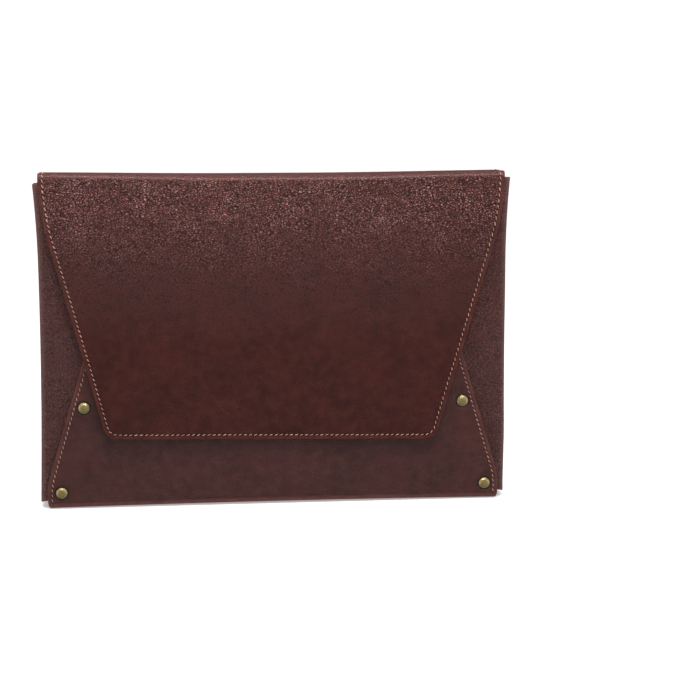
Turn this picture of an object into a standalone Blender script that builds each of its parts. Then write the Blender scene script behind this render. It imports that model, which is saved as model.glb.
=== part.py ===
"""Leather laptop sleeve with an envelope flap, standing on its bottom fold.

The leather and the lining are each one cross-shaped blank on the real sleeve. Here each blank is
divided at its folds, so that a panel is a piece of its own and the flap can turn about the two folds
at the top. X runs along the width, -Y is the front with the flap, +Z is up. The origin is at the
middle of the base.
"""

import math

import bmesh
import bpy
from mathutils import Vector

MM = 0.001

# Materials' thicknesses and the clearance between neighbours
LEATHER = 1.6 * MM
LINING = 0.6 * MM
GAP = 0.3 * MM
LAYER = LEATHER + GAP + LINING
THREAD = 0.6 * MM
THREAD_STAND = GAP + THREAD

# Outer form
HEIGHT = 252 * MM
POCKET_TOP = 245.7 * MM
POCKET_DEPTH = 17 * MM
WAIST_HALF = 174.4 * MM
WAIST_Z = 185 * MM
BASE_HALF = 178.5 * MM
MOUTH_HALF = 176.8 * MM
BASE_STRIP_HALF = 171.3 * MM

# Outer radius of each fold
TOP_FOLD = 5 * MM
BASE_FOLD = 5 * MM
SIDE_FOLD = 6 * MM
FOLD_LEG = 0.3 * MM

# Where the flat back and front panels begin, above the base fold
PANEL_BOTTOM = BASE_FOLD + FOLD_LEG + GAP

# Flap: upright at the top fold, then narrowing in a straight slant
FLAP_HALF = 171.1 * MM
FLAP_BOTTOM = 51.7 * MM
FLAP_SLANT = math.radians(14.8)
FLAP_BEND = 165 * MM
FLAP_CORNER = 11 * MM
FLAP_GAP = 1.2 * MM

# Front panel: upright at the base fold, then narrowing upwards
FRONT_HALF = 172.5 * MM
FRONT_BEND_Z = 10 * MM
FRONT_TOP = 190 * MM
FRONT_SLANT = math.radians(17)
FRONT_BEND = 60 * MM
FRONT_CORNER = 10 * MM

# Wings and side walls
WING_INNER = 92 * MM
WING_BOTTOM = 6 * MM
WING_CORNER = 10 * MM
SIDE_BOTTOM = 4 * MM
SIDE_STEPS = 8

# Rivets, as (x, z) on the right-hand side
RIVETS = {"upper": (143.5 * MM, 78.8 * MM), "lower": (162 * MM, 12.6 * MM)}
CAP_RADIUS = 4.25 * MM
CAP_HEIGHT = 1.7 * MM
CAP_RIM = 0.35 * MM
CAP_UNDERCUT = 0.25 * MM
CAP_BORE_DEPTH = 0.9 * MM
POST_RADIUS = 1.2 * MM
POST_HOLE = POST_RADIUS + GAP
HEAD_RADIUS = 4 * MM
HEAD_THICKNESS = 0.5 * MM

# Magnets in the flap and the front panel
MAGNET_X = 75 * MM
MAGNET_Z = 66 * MM
MAGNET_RADIUS = 6 * MM
MAGNET_THICKNESS = 0.8 * MM
MAGNET_PROUD = 0.15 * MM

STITCH_INSET = 3.4 * MM
ARC_STEPS = 5
ROUND_STEPS = 24
DOME_STEPS = 6

# Y of each layer's outer face, from the back to the front
THICKNESS = 4 * LAYER + POCKET_DEPTH + GAP + FLAP_GAP + THREAD_STAND
BACK_Y = THICKNESS / 2
POCKET_BACK_Y = BACK_Y - LAYER
POCKET_FRONT_Y = POCKET_BACK_Y - POCKET_DEPTH
WING_Y = POCKET_FRONT_Y - LAYER
FRONT_Y = WING_Y - GAP - LAYER
FLAP_Y = FRONT_Y - FLAP_GAP - LAYER

# The top folds turn about lines just inside the layers, where the fold can straighten without stretching
FOLD_MIDDLE = TOP_FOLD - LAYER / 2
FOLD_DEPTH = LAYER / 2 + FOLD_MIDDLE * (1 - math.pi / 4)
FOLD_Z = HEIGHT - FOLD_DEPTH
SPINE_FOLD = Vector((0, BACK_Y - FOLD_DEPTH, FOLD_Z))
FLAP_FOLD = Vector((0, FLAP_Y + FOLD_DEPTH, FOLD_Z))

SIDES = {"left": -1, "right": 1}


# ---- scene, materials and object helpers ------------------------------------------------


def clear_scene():
    for obj in list(bpy.data.objects):
        bpy.data.objects.remove(obj, do_unlink=True)


def new_collection(name):
    collection = bpy.data.collections.new(name)
    bpy.context.scene.collection.children.link(collection)
    return collection


def new_material(name, colour, roughness, metallic=0.0):
    material = bpy.data.materials.new(name)
    material.use_nodes = True
    shader = material.node_tree.nodes["Principled BSDF"]
    shader.inputs["Base Color"].default_value = (*colour, 1.0)
    shader.inputs["Roughness"].default_value = roughness
    shader.inputs["Metallic"].default_value = metallic
    material.diffuse_color = (*colour, 1.0)
    return material


def add_object(name, data, material):
    obj = bpy.data.objects.new(name, data)
    obj.data.materials.append(material)
    SLEEVE.objects.link(obj)
    return obj


def smooth_round_faces(mesh):
    mesh.shade_smooth()
    mesh.set_sharp_from_angle(angle=math.radians(35))


def fold_axis(name, place, parent=None):
    """An empty on a fold's axis, which carries the pieces that turn about it."""
    empty = bpy.data.objects.new(name, None)
    empty.empty_display_size = 10 * MM
    empty.location = place
    SLEEVE.objects.link(empty)
    if parent:
        hang(empty, parent)
    bpy.context.view_layer.update()
    return empty


def hang(obj, parent):
    """Parents an object to a fold's axis and leaves it where it is."""
    obj.parent = parent
    obj.matrix_parent_inverse = parent.matrix_world.inverted()


# ---- outlines ---------------------------------------------------------------------------


def half_width(z):
    """Half the outer width at a height: least at the waist, more at the base and the mouth."""
    if z < WAIST_Z:
        return WAIST_HALF + (BASE_HALF - WAIST_HALF) * ((WAIST_Z - z) / WAIST_Z) ** 2
    return WAIST_HALF + (MOUTH_HALF - WAIST_HALF) * ((z - WAIST_Z) / (POCKET_TOP - WAIST_Z)) ** 2


def arc(centre, radius, start, end, steps=ARC_STEPS):
    """Points of an arc, from one angle to another, both ends included."""
    turns = [start + (end - start) * i / steps for i in range(steps + 1)]
    return [(centre[0] + radius * math.cos(a), centre[1] + radius * math.sin(a)) for a in turns]


def tapered_edge(half, start_z, end_z, bend, slant, corner, inset=0.0):
    """The right-hand edge of a tapered panel, as (x, z): a bend, a straight slant, a rounded corner."""
    way = 1 if end_z > start_z else -1
    bend_x = half - bend
    corner_rise = abs(end_z - start_z) - corner
    run = (corner_rise - (bend - corner) * math.sin(slant)) / math.cos(slant)
    corner_x = bend_x + (bend - corner) * math.cos(slant) - run * math.sin(slant)
    points = arc((bend_x, 0), bend - inset, 0, slant)
    points += arc((corner_x, corner_rise), corner - inset, slant, math.pi / 2)
    return [(x, start_z + way * rise) for x, rise in points]


def flap_edge(inset=0.0):
    return tapered_edge(FLAP_HALF, POCKET_TOP, FLAP_BOTTOM, FLAP_BEND, FLAP_SLANT, FLAP_CORNER, inset)


def front_edge(inset=0.0):
    return tapered_edge(
        FRONT_HALF, FRONT_BEND_Z, FRONT_TOP, FRONT_BEND, FRONT_SLANT, FRONT_CORNER, inset
    )


def mirrored(edge):
    """A right-hand edge followed by its mirror image, as one run of points."""
    return edge + [(-x, z) for x, z in reversed(edge)]


def heights(low, high, steps=SIDE_STEPS):
    return [low + (high - low) * i / steps for i in range(steps + 1)]


def panel_end(z):
    """Where a flat panel stops beside the side fold."""
    return half_width(z) - SIDE_FOLD - FOLD_LEG - GAP


def back_outline():
    return mirrored([(panel_end(z), z) for z in heights(PANEL_BOTTOM, POCKET_TOP)])


def front_outline():
    return mirrored([(FRONT_HALF, PANEL_BOTTOM)] + front_edge())


def wing_corner_line(inset=0.0):
    """The wing's inner edge on the right, from its top corner down to its bottom corner."""
    x = WING_INNER + WING_CORNER
    radius = WING_CORNER - inset
    upper = arc((x, POCKET_TOP - WING_CORNER), radius, math.pi / 2, math.pi)
    lower = arc((x, WING_BOTTOM + WING_CORNER), radius, math.pi, 1.5 * math.pi)
    return upper, lower


def wing_outline(side):
    upper, lower = wing_corner_line()
    outer = [(panel_end(z), z) for z in heights(WING_BOTTOM, POCKET_TOP)]
    return [(side * x, z) for x, z in outer + upper + lower]


def circle(centre, radius, steps=ROUND_STEPS):
    return arc(centre, radius, 0, 2 * math.pi, steps)[:-1]


def rivet_holes(sides):
    return [circle((side * x, z), POST_HOLE) for side in sides for x, z in RIVETS.values()]


# ---- kinds of piece ---------------------------------------------------------------------


def poly_line(curve, points, closed):
    spline = curve.splines.new("POLY")
    spline.points.add(len(points) - 1)
    for place, point in zip(spline.points, points):
        place.co = (*point, 1.0)
    spline.use_cyclic_u = closed


def flat_panel(name, outline, outer_y, thickness, material, holes=()):
    """A sheet cut to an outline in the XZ plane, with its front or back face at outer_y."""
    curve = bpy.data.curves.new(name, "CURVE")
    curve.dimensions = "2D"
    curve.fill_mode = "BOTH"
    curve.extrude = abs(thickness) / 2
    for line in (outline, *holes):
        poly_line(curve, [(x, z, 0) for x, z in line], True)
    obj = add_object(name, curve, material)
    obj.rotation_euler = (math.pi / 2, 0, 0)
    obj.location = (0, outer_y + thickness / 2, 0)
    return obj


def as_mesh(panel):
    """Makes a curve object a mesh object of the same name and place, with its caps welded on."""
    bpy.context.view_layer.update()
    name, place, material = panel.name, panel.matrix_world.copy(), panel.data.materials[0]
    graph = bpy.context.evaluated_depsgraph_get()
    mesh = bpy.data.meshes.new_from_object(panel.evaluated_get(graph))
    bpy.data.objects.remove(panel, do_unlink=True)
    work = bmesh.new()
    work.from_mesh(mesh)
    bmesh.ops.remove_doubles(work, verts=work.verts, dist=0.001 * MM)
    bmesh.ops.recalc_face_normals(work, faces=work.faces)
    work.to_mesh(mesh)
    work.free()
    mesh.materials.clear()
    obj = add_object(name, mesh, material)
    obj.matrix_world = place
    return obj


def fold_profile(u_far, u_near, v_flat, radius, inset, way):
    """A strip's outer face across two bends, with a short straight leg past each.

    u runs across the strip and v towards its flat, on the side that way gives.
    """
    centre_v = v_flat - way * radius
    inner = radius - inset
    quarter = math.pi / 2
    points = [(u_far - inset, -FOLD_LEG)]
    points += arc((u_far - radius, 0), inner, 0, quarter)
    points += arc((u_near + radius, 0), inner, quarter, 2 * quarter)
    points += [(u_near + inset, -FOLD_LEG)]
    return [(u, centre_v + way * rise) for u, rise in points]


def swept_sheet(name, section, moves, outward, thickness, material):
    """A sheet: a row of points swept through a list of moves, thickened away from the outward side."""
    work = bmesh.new()
    row = [work.verts.new(point) for point in section]
    edges = [work.edges.new(pair) for pair in zip(row, row[1:])]
    for move in moves:
        made = bmesh.ops.extrude_edge_only(work, edges=edges)["geom"]
        verts = {item for item in made if isinstance(item, bmesh.types.BMVert)}
        edges = [
            item
            for item in made
            if isinstance(item, bmesh.types.BMEdge) and verts.issuperset(item.verts)
        ]
        bmesh.ops.translate(work, verts=list(verts), vec=move)
    bmesh.ops.recalc_face_normals(work, faces=work.faces)
    work.faces.ensure_lookup_table()
    middle = max(work.faces, key=lambda face: abs(face.normal.dot(outward)))
    if middle.normal.dot(outward) < 0:
        bmesh.ops.reverse_faces(work, faces=work.faces)
    mesh = bpy.data.meshes.new(name)
    work.to_mesh(mesh)
    work.free()
    smooth_round_faces(mesh)
    obj = add_object(name, mesh, material)
    solid = obj.modifiers.new("thickness", "SOLIDIFY")
    solid.thickness = thickness
    solid.offset = -1
    solid.use_even_offset = True
    return obj


def strip_across(name, half, near_y, flat_z, radius, inset, way, thickness, material):
    """A strip that runs along X, from the back's plane over or under the pocket to a front plane."""
    profile = fold_profile(BACK_Y, near_y, flat_z, radius, inset, way)
    section = [Vector((-half, y, z)) for y, z in profile]
    moves = [Vector((2 * half, 0, 0))]
    return swept_sheet(name, section, moves, Vector((0, 0, way)), thickness, material)


def side_wall(name, side, inset, thickness, material):
    """The fold round one side, from the back's plane to the wing's, following the waist."""
    levels = heights(SIDE_BOTTOM, POCKET_TOP)
    profile = fold_profile(BACK_Y, WING_Y, 0, SIDE_FOLD, inset, 1)
    shifts = [half_width(z) for z in levels]
    section = [Vector((side * (shifts[0] + x), y, levels[0])) for y, x in profile]
    rise = levels[1] - levels[0]
    moves = [Vector((side * (b - a), 0, rise)) for a, b in zip(shifts, shifts[1:])]
    return swept_sheet(name, section, moves, Vector((side, 0, 0)), thickness, material)


def thread(name, points):
    """A line of stitching as one thread along a path."""
    curve = bpy.data.curves.new(name, "CURVE")
    curve.dimensions = "3D"
    curve.bevel_depth = THREAD / 2
    curve.bevel_resolution = 2
    curve.use_fill_caps = True
    poly_line(curve, points, False)
    add_object(name, curve, THREAD_COLOUR)


def thread_on_face(name, line, face_y):
    y = face_y - GAP - THREAD / 2
    thread(name, [(x, y, z) for x, z in line])


def turned(name, profile, place, material):
    """A turned piece whose axis points forward; profile rows are (radius, distance forward)."""
    work = bmesh.new()
    row = [work.verts.new((radius, 0, forward)) for radius, forward in profile]
    for pair in zip(row, row[1:]):
        work.edges.new(pair)
    mesh = bpy.data.meshes.new(name)
    work.to_mesh(mesh)
    work.free()
    obj = add_object(name, mesh, material)
    obj.location = place
    obj.rotation_euler = (math.pi / 2, 0, 0)
    screw = obj.modifiers.new("turn", "SCREW")
    screw.steps = ROUND_STEPS
    screw.render_steps = ROUND_STEPS
    screw.use_merge_vertices = True
    screw.merge_threshold = 0.01 * MM
    screw.use_smooth_shade = True
    return obj


def disc(name, x, y_front, z, radius, thickness, material):
    """A flat disc whose axis runs front to back, with its front face at y_front."""
    work = bmesh.new()
    bmesh.ops.create_cone(
        work, cap_ends=True, segments=ROUND_STEPS, radius1=radius, radius2=radius, depth=thickness
    )
    mesh = bpy.data.meshes.new(name)
    work.to_mesh(mesh)
    work.free()
    smooth_round_faces(mesh)
    obj = add_object(name, mesh, material)
    obj.rotation_euler = (math.pi / 2, 0, 0)
    obj.location = (x, y_front + thickness / 2, z)
    return obj


# ---- the sleeve -------------------------------------------------------------------------


def lined_panel(name, outline, outer_y, inward, holes=()):
    """A leather panel and the lining behind it; inward is the y direction from leather to lining."""
    flat_panel(f"{name}_leather", outline, outer_y, inward * LEATHER, LEATHER_COLOUR, holes)
    lining_y = outer_y + inward * (LEATHER + GAP)
    flat_panel(f"{name}_lining", outline, lining_y, inward * LINING, LINING_COLOUR, holes)


def lined_strip(name, half, near_y, flat_z, radius, way):
    for kind, inset, thickness, colour in (
        ("leather", 0, LEATHER, LEATHER_COLOUR),
        ("lining", LEATHER + GAP, LINING, LINING_COLOUR),
    ):
        strip_across(f"{name}_{kind}", half, near_y, flat_z, radius, inset, way, thickness, colour)


def make_pocket():
    lined_panel("back", back_outline(), BACK_Y, -1)
    lined_strip("base", BASE_STRIP_HALF, FRONT_Y, 0, BASE_FOLD, -1)
    for word, side in SIDES.items():
        side_wall(f"{word}_side_leather", side, 0, LEATHER, LEATHER_COLOUR)
        side_wall(f"{word}_side_lining", side, LEATHER + GAP, LINING, LINING_COLOUR)
        lined_panel(f"{word}_wing", wing_outline(side), WING_Y, 1, rivet_holes([side]))
    lined_panel("front", front_outline(), FRONT_Y, 1, rivet_holes(SIDES.values()))


def make_flap():
    lined_strip("spine", FLAP_HALF, FLAP_Y, HEIGHT, TOP_FOLD, 1)
    lined_panel("flap", mirrored(flap_edge()), FLAP_Y, 1)


def add_magnets(panel_name, outer_y):
    """Two magnets in shallow seats in the flesh side of a panel's leather."""
    panel = as_mesh(bpy.data.objects[f"{panel_name}_leather"])
    seat_depth = 2 * LEATHER
    front_face = outer_y + LEATHER + MAGNET_PROUD - MAGNET_THICKNESS
    seat_face = front_face - GAP
    for word, side in SIDES.items():
        x = side * MAGNET_X
        name = f"{panel_name}_magnet_{word}"
        disc(name, x, front_face, MAGNET_Z, MAGNET_RADIUS, MAGNET_THICKNESS, MAGNET_COLOUR)
        seat_radius = MAGNET_RADIUS + GAP
        cutter = disc(f"{name}_seat", x, seat_face, MAGNET_Z, seat_radius, seat_depth, MAGNET_COLOUR)
        SLEEVE.objects.unlink(cutter)
        CUTTERS.objects.link(cutter)
        cutter.hide_render = True
        cutter.display_type = "WIRE"
        cut = panel.modifiers.new(f"{word} magnet seat", "BOOLEAN")
        cut.object = cutter


def make_rivet(name, x, z):
    """A domed cap in front of the layers and, behind them, a post with a flat head."""
    cap_back = FRONT_Y - GAP
    quarter = math.pi / 2
    dome_rise = CAP_HEIGHT - CAP_RIM
    angles = [quarter * (1 - i / DOME_STEPS) for i in range(1, DOME_STEPS + 1)]
    dome = [(CAP_RADIUS * math.cos(a), CAP_RIM + dome_rise * math.sin(a)) for a in angles]
    skirt = [(CAP_RADIUS - CAP_UNDERCUT, 0), (POST_HOLE, 0)]
    bore = [(POST_HOLE, CAP_BORE_DEPTH), (0, CAP_BORE_DEPTH)]
    cap_profile = [(0, CAP_HEIGHT)] + dome + skirt + bore
    turned(f"rivet_cap_{name}", cap_profile, (x, cap_back, z), RIVET_COLOUR)
    head_back = POCKET_FRONT_Y + GAP + HEAD_THICKNESS
    post_end = head_back - cap_back + CAP_BORE_DEPTH - GAP
    post = [(0, post_end), (POST_RADIUS, post_end), (POST_RADIUS, HEAD_THICKNESS)]
    head = [(HEAD_RADIUS, HEAD_THICKNESS), (HEAD_RADIUS, 0), (0, 0)]
    turned(f"rivet_post_{name}", post + head, (x, head_back, z), RIVET_COLOUR)


def make_rivets():
    for word, side in SIDES.items():
        for level, (x, z) in RIVETS.items():
            make_rivet(f"{word}_{level}", side * x, z)


def spine_thread_line(x):
    """Over the top fold near the flap's edge, from the back bend's middle to the front bend's end."""
    stand = GAP + THREAD / 2
    profile = fold_profile(BACK_Y, FLAP_Y, HEIGHT, TOP_FOLD, -stand, 1)
    middle = len(profile) // 4
    return [(x, y, z) for y, z in profile[middle:-2]]


def make_stitching():
    thread_on_face("flap_stitching", mirrored(flap_edge(STITCH_INSET)), FLAP_Y)
    thread_on_face("front_stitching", mirrored(front_edge(STITCH_INSET)), FRONT_Y)
    upper, _ = wing_corner_line(STITCH_INSET)
    top_z = POCKET_TOP - STITCH_INSET
    lower_end = (WING_INNER + STITCH_INSET, FRONT_TOP + STITCH_INSET)
    line = [(panel_end(top_z), top_z)] + upper + [lower_end]
    for word, side in SIDES.items():
        thread_on_face(f"{word}_wing_stitching", [(side * x, z) for x, z in line], WING_Y)
        thread(f"{word}_spine_stitching", spine_thread_line(side * (FLAP_HALF - STITCH_INSET)))


def hang_moving_pieces():
    """Parents the strip over the top and the flap to the axes of the folds that they turn about."""
    spine_axis = fold_axis("spine_fold_axis", SPINE_FOLD)
    flap_axis = fold_axis("flap_fold_axis", FLAP_FOLD, spine_axis)
    for obj in SLEEVE.objects:
        if "spine" in obj.name and obj != spine_axis:
            hang(obj, spine_axis)
        elif obj.name.startswith("flap_") and obj != flap_axis:
            hang(obj, flap_axis)


clear_scene()
SLEEVE = new_collection("laptop_sleeve")
CUTTERS = new_collection("cutters")
LEATHER_COLOUR = new_material("leather", (0.069, 0.023, 0.018), 0.42)
LINING_COLOUR = new_material("lining", (0.085, 0.048, 0.033), 0.95)
RIVET_COLOUR = new_material("antique_brass", (0.46, 0.36, 0.15), 0.35, 1.0)
MAGNET_COLOUR = new_material("magnet_plating", (0.55, 0.55, 0.56), 0.3, 1.0)
THREAD_COLOUR = new_material("thread", (0.48, 0.26, 0.19), 0.7)

make_pocket()
make_flap()
add_magnets("flap", FLAP_Y)
add_magnets("front", FRONT_Y)
make_rivets()
make_stitching()
hang_moving_pieces()
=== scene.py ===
"""Looks of the leather laptop sleeve: folded hides, linings, stitching, rivets and a plain pale studio.

Each leather piece is laid out flat as a pattern, framed by rows that follow its cut edges, carried over
the folds of the sleeve, and then settled a little away from the CAD's flat planes. A point of the flap, the
top fold or the front is (x, s, depth): s runs along the long strip that goes from the flap's lower edge over
the top, down the back, under the base and up the front. A point of the body is (u, z, depth): u runs round
the sides from the middle of the back. Depth is measured into the leather from its grain side. Lengths are in
metres.
"""

import math
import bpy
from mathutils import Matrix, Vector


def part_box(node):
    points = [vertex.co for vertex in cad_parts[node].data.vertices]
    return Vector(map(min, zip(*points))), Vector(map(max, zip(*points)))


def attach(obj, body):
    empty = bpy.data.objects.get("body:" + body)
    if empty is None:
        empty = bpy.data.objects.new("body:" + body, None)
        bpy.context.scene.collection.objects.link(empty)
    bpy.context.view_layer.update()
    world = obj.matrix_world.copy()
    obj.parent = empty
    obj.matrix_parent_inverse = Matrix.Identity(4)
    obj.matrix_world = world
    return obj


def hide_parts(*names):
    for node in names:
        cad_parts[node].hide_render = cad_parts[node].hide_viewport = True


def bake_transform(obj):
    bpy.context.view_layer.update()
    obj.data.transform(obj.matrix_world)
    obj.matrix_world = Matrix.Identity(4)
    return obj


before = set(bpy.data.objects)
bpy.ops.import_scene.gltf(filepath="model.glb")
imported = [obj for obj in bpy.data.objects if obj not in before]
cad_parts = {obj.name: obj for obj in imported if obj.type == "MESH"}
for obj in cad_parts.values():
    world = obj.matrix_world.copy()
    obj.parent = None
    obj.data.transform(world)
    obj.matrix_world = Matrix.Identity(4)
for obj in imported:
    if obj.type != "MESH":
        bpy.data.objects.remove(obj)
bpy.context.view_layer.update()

from types import SimpleNamespace

import bmesh
import bpy
import numpy as np
from mathutils import Matrix, Vector, noise

MM = 0.001
QUARTER = math.pi / 2
TINY, CLOSE = 0.01 * MM, 0.1 * MM

# Faces and edges of the CAD panels
BACK_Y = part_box("back_leather")[1].y
LEATHER = BACK_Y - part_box("back_leather")[0].y
LAYER = BACK_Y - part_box("back_lining")[0].y
FLAP_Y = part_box("flap_leather")[0].y
FRONT_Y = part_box("front_leather")[0].y
WING_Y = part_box("right_wing_leather")[0].y
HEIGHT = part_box("spine_leather")[1].z
POCKET_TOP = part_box("back_leather")[1].z
PANEL_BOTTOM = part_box("back_leather")[0].z
FLAP_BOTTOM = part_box("flap_leather")[0].z
FLAP_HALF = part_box("spine_leather")[1].x
BASE_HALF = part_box("base_leather")[1].x
FRONT_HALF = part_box("front_leather")[1].x
FRONT_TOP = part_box("front_leather")[1].z
WING_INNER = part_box("right_wing_leather")[0].x
WING_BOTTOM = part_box("right_wing_leather")[0].z
SIDE_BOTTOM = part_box("right_side_leather")[0].z
RIVETS = ("left_upper", "left_lower", "right_upper", "right_lower")
MAGNETS = ("flap_magnet_left", "flap_magnet_right", "front_magnet_left", "front_magnet_right")
SPINE_STITCHING = ("left_spine_stitching", "right_spine_stitching")

# Folds, slants and corners, as the CAD has them
TOP_FOLD = BASE_FOLD = 5 * MM
SIDE_FOLD = 6 * MM
WAIST_HALF, WAIST_Z = 174.4 * MM, 185 * MM
FOOT_HALF, MOUTH_HALF = 178.5 * MM, 176.8 * MM
FLAP_SLANT, FLAP_BEND, FLAP_CORNER = math.radians(14.8), 165 * MM, 11 * MM
FRONT_SLANT, FRONT_BEND, FRONT_CORNER = math.radians(17), 60 * MM, 10 * MM
FRONT_BEND_Z = 10 * MM
WING_CORNER = 10 * MM

# The long strip's path in (y, z), as legs of (length, radius of the quarter turn after it)
BACK_TOP = HEIGHT - TOP_FOLD
BELT_LEGS = (
    (BACK_TOP - FLAP_BOTTOM, TOP_FOLD),
    (BACK_Y - FLAP_Y - 2 * TOP_FOLD, TOP_FOLD),
    (BACK_TOP - BASE_FOLD, BASE_FOLD),
    (BACK_Y - FRONT_Y - 2 * BASE_FOLD, BASE_FOLD),
    (FRONT_TOP - BASE_FOLD, 0),
)
BELT = ((FLAP_Y, FLAP_BOTTOM), QUARTER, BELT_LEGS)
S_FLAP_BEND = BELT_LEGS[0][0]
S_SPINE = S_FLAP_BEND + TOP_FOLD * QUARTER
S_CENTRE = S_SPINE + BELT_LEGS[1][0] / 2
S_SPINE_END = S_SPINE + BELT_LEGS[1][0]
S_BACK = S_SPINE_END + TOP_FOLD * QUARTER
S_POCKET_TOP = S_BACK + BACK_TOP - POCKET_TOP
S_BACK_END = S_BACK + BACK_TOP - PANEL_BOTTOM
S_BASE_BEND = S_BACK + BELT_LEGS[2][0]
S_BASE = S_BASE_BEND + BASE_FOLD * QUARTER
S_FRONT_BEND = S_BASE + BELT_LEGS[3][0]
S_FRONT = S_FRONT_BEND + BASE_FOLD * QUARTER

# The path round the right side in (x, y); its flat parts are scaled to follow the waist
FLAT_HALF = 170 * MM
SIDE_FLAT = BACK_Y - WING_Y - 2 * SIDE_FOLD
GIRTH = ((0, BACK_Y), 0.0, ((FLAT_HALF, SIDE_FOLD), (SIDE_FLAT, SIDE_FOLD), (FLAT_HALF, 0)))
FOLD_RUN = SIDE_FOLD * QUARTER
U_WING = FLAT_HALF + 2 * FOLD_RUN + SIDE_FLAT
U_EDGE = U_WING + FLAT_HALF - WING_INNER

# Rows that follow a cut edge, as distances from it
STITCH_INSET = 3.4 * MM
RING_INSETS = np.array([0.5, 1.2, 2.4, 3.4, 4.4, 6.2, 9.0]) * MM
STITCH_RING = 3
EDGE_DROP = 0.06 * MM
GROOVE_DEPTH = 0.16 * MM

# The rounding of the cut edge itself: how far in from the edge, and at what share of the thickness
RIM_INSETS = np.array([0.2, 0.04, 0.0, 0.0, 0.04, 0.2]) * MM
RIM_DEPTHS = np.array([0.09, 0.21, 0.38, 0.66, 0.81, 0.94])

# How finely the shapes are divided
CELL, FOLD_CELL, SIDE_CELL = 3.6 * MM, 1 * MM, 2.5 * MM
ACROSS = 72
BEND_STEPS, CORNER_STEPS, WING_CORNER_STEPS, FOLD_STEPS, SEAM_STEPS = 8, 5, 4, 6, 8
TURNED_STEPS, SURROUND_STEPS = 48, 64

# In millimetres from the stitch line, where there is none
FAR = 50.0

# The lining lies just under the leather, with its edge set back
LINING_TOP = LEATHER + 0.02 * MM
LINING_MARGIN = 0.4 * MM

# Stitches: where each starts and how far it reaches, as shares of the pitch, and how its thread lies
PITCH = 3.9 * MM
STITCH_START, STITCH_REACH = 0.16, 0.68
STITCH_SLANT, STITCH_WOBBLE = 0.85 * MM, 0.04 * MM
STITCH_RISE, STITCH_DIVE = 0.2 * MM, 0.68 * MM
THREAD_RADIUS, THREAD_SPREAD, THREAD_TAPER = 0.31 * MM, (0.92, 1.06), 0.4
STITCH_POINTS, THREAD_SIDES = 8, 8
TOP_FOLD_SEWN, SEAM_OVERLAP = 4 * MM, 0.5 * MM

# Settling. The walls bow and ripple, except near their borders, and the base arches off the table
PILLOW, RIPPLE = 1.1 * MM, 0.45 * MM
FRONT_RIPPLES, BACK_RIPPLES = (60 * MM, 3.1), (75 * MM, 8.4)
CALM_SIDE, CALM_TOP, CALM_BASE = 25 * MM, 30 * MM, 20 * MM
BASE_ARCH, ARCH_TOP = 1.0 * MM, 45 * MM

# Settling of the top fold: it rises and flares, with its ends up, most of all in front
TOP_RISE, TOP_SAG, TOP_FLARE = 0.7 * MM, 0.3 * MM, 0.006
END_RISE_FRONT, END_RISE_BACK, END_BLEND = 2.3 * MM, 1.1 * MM, 10 * MM
END_FROM, END_TO = 30 * MM, 175 * MM
TOP_START, TOP_FULL = POCKET_TOP, POCKET_TOP + 4.3 * MM
FLAP_TOP_START, FLAP_TOP_FULL = 205 * MM, 247 * MM

# Settling of the wings, whose upper corners stand up, and of the right side, which bellies out
LEFT_WING_RISE, RIGHT_WING_RISE = 0.8 * MM, 4.4 * MM
WING_RISE_FROM, WING_FROM, WING_TO = 195 * MM, 40 * MM, 90 * MM
RIGHT_BELLY, BELLY_FROM, BELLY_TO, BELLY_FULL = 1.7 * MM, 110 * MM, 170 * MM, 60 * MM
BELLY_EASE, EASE_FROM, EASE_TO = 0.45, 150 * MM, 230 * MM

# Settling of the flap: tucked in under its fold, off the front at its lower edge, short and askew
FLAP_TUCK, FLAP_LIFT, LEFT_LIFT = 3.3 * MM, 2.6 * MM, 0.6
FLAP_WAVE, FLAP_WAVES = 0.3 * MM, (38 * MM, 5.7)
FLAP_SHIFT, FLAP_SQUEEZE, FLAP_SHORTER, FLAP_TILT = 1.7 * MM, 2.6 * MM, 1.6 * MM, 0.019

# Rubbed leather fades out this far past a fold
FADE = 3 * MM

# A rivet cap's rim as (radius, distance forward) in millimetres, and the dome inside it
CAP_RIM = ((4.16, 0), (4.25, 0.12), (4.25, 0.34), (4.12, 0.5), (3.9, 0.55), (3.74, 0.5), (3.62, 0.52))
CAP_DOME, CAP_HEIGHT, CAP_POINTS, CAP_END = 3.55, 1.3, 9, 0.97 * QUARTER

# How far outside a cap its ring in the leather lies, a dent with a painted shadow, in millimetres
DENT_AND_SHADE_MARGIN = 0.5

# A magnet's eased edge as (inset, drop), in steps of this size
MAGNET_EASE, MAGNET_EDGE = 0.12 * MM, ((2, 0), (1, 1 / 3), (0, 1))

# Grain strength over the pieces; the flap's fades downwards. It also sets the painted highlight on the
# pebble tops, so the flap is painted lighter towards its top
FLAP_GRAIN, FLAP_GRAIN_GAIN, GRAIN_FROM, GRAIN_TO = 0.1, 0.95, 120 * MM, 240 * MM
TOP_GRAIN, FRONT_GRAIN, WING_GRAIN, BACK_GRAIN = 0.8, 0.1, 0.7, 0.65

# The studio, in metres: a table, a far wall, a room, and softboxes (place, aim, size, power, colour)
TABLE_RADII, TABLE_DROP = (0.3, 0.6, 1.2, 3, 10, 30, 60), 0.1 * MM
WALL_PROFILE = ((60, 0), (61, 1), (61.5, 4), (61.5, 45))
TABLE_GLOW, WALL_GLOW = 0.35, 1.0
ROOM_DIM, ROOM_SIDE, ROOM_TOP = 0.18, 1.5, 1.6
SOFTBOXES = (
    ("key", (0.15, -1.0, 1.15), (0, 0, 0.2), (0.8, 0.4), 5, (0.97, 0.97, 1.0)),
    ("strip", (-0.03, -0.15, 0.44), (0, 0, 0.22), (0.7, 0.06), 2.3, (0.94, 0.95, 1.0)),
)

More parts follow.
